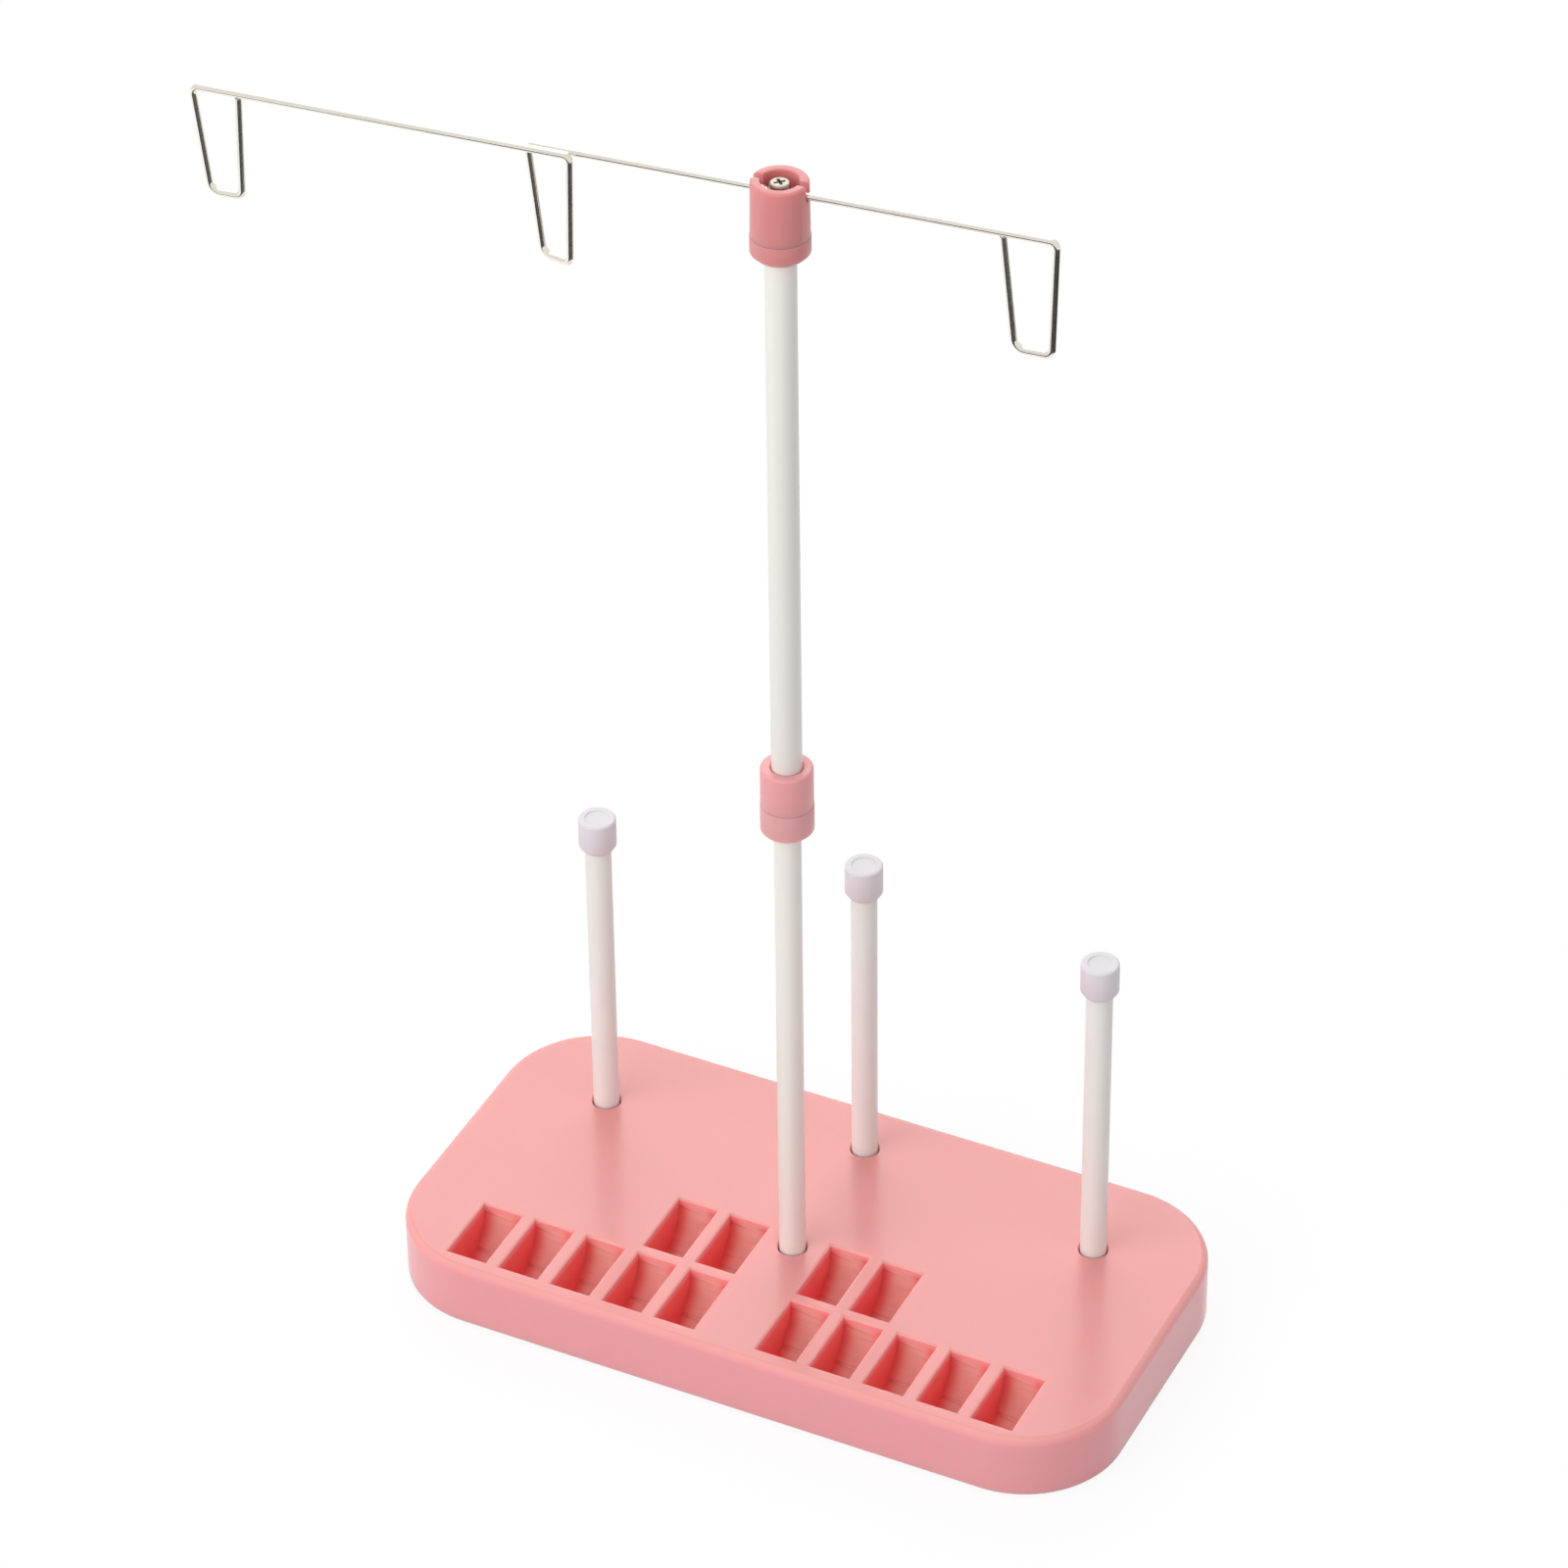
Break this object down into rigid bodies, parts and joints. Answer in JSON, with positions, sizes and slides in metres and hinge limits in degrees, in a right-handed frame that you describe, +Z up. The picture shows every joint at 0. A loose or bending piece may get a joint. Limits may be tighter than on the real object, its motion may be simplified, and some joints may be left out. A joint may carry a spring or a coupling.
{
  "type": "thread rack",
  "caption": "Free-standing thread stand: capped spool pins and bobbin pockets on a flat base, and a telescopic mast that carries a wire thread guide with loops.",
  "frame": {"origin": "on the surface that the rack stands on, under the centre of the base", "axes": "+X along the base to the right, +Y to its back, +Z up the mast"},
  "size_m": [0.2703, 0.114, 0.3718],
  "materials": {
    "pink_plastic": "smooth moulded plastic with a soft shine",
    "white_plastic": "smooth off-white plastic",
    "lilac_plastic": "satin pale lilac plastic",
    "white_tube": "off-white coated steel tube",
    "wire": "bright plated steel wire",
    "steel": "plated steel",
    "pad_rubber": "matt grey non-slip sheet"
  },
  "bodies": {
    "base": {"base_shell": "pink_plastic", "base_plate": "pink_plastic", "plate_screws": "steel", "non_slip_pad": "pad_rubber"},
    "lower_mast": {"mast_lower_tube": "white_tube", "mast_end_bush": "white_plastic"},
    "upper_mast": {"mast_upper_tube": "white_tube", "collar_body": "pink_plastic", "collar_collet": "white_plastic", "holder_ring": "pink_plastic", "holder_plug": "white_plastic", "guide_screw": "steel"},
    "clamp_ring": {"collar_ring": "pink_plastic"},
    "guide": {"holder_cap": "pink_plastic", "guide_wire": "wire"},
    "left_pin": {"spool_pin_left": "white_plastic", "pin_cap_left": "lilac_plastic"},
    "middle_pin": {"spool_pin_middle": "white_plastic", "pin_cap_middle": "lilac_plastic"},
    "right_pin": {"spool_pin_right": "white_plastic", "pin_cap_right": "lilac_plastic"}
  },
  "joints": [
    {"name": "mast_lift_out", "type": "slide", "parent": "base", "child": "lower_mast", "axis": [0, 0, 1], "range_m": [0, 0.016]},
    {"name": "mast_height", "type": "slide", "parent": "lower_mast", "child": "upper_mast", "axis": [0, 0, 1], "range_m": [-0.13, 0]},
    {"name": "clamp_ring_twist", "type": "hinge", "parent": "upper_mast", "child": "clamp_ring", "pos_m": [0, -0.008, 0.1727], "axis": [0, 0, 1], "range_deg": [-90, 0]},
    {"name": "guide_swivel", "type": "hinge", "parent": "upper_mast", "child": "guide", "pos_m": [0, -0.008, 0.3685], "axis": [0, 0, 1], "continuous": true},
    {"name": "left_pin_lift_out", "type": "slide", "parent": "base", "child": "left_pin", "axis": [0, 0, 1], "range_m": [0, 0.016]},
    {"name": "middle_pin_lift_out", "type": "slide", "parent": "base", "child": "middle_pin", "axis": [0, 0, 1], "range_m": [0, 0.016]},
    {"name": "right_pin_lift_out", "type": "slide", "parent": "base", "child": "right_pin", "axis": [0, 0, 1], "range_m": [0, 0.016]}
  ]
}
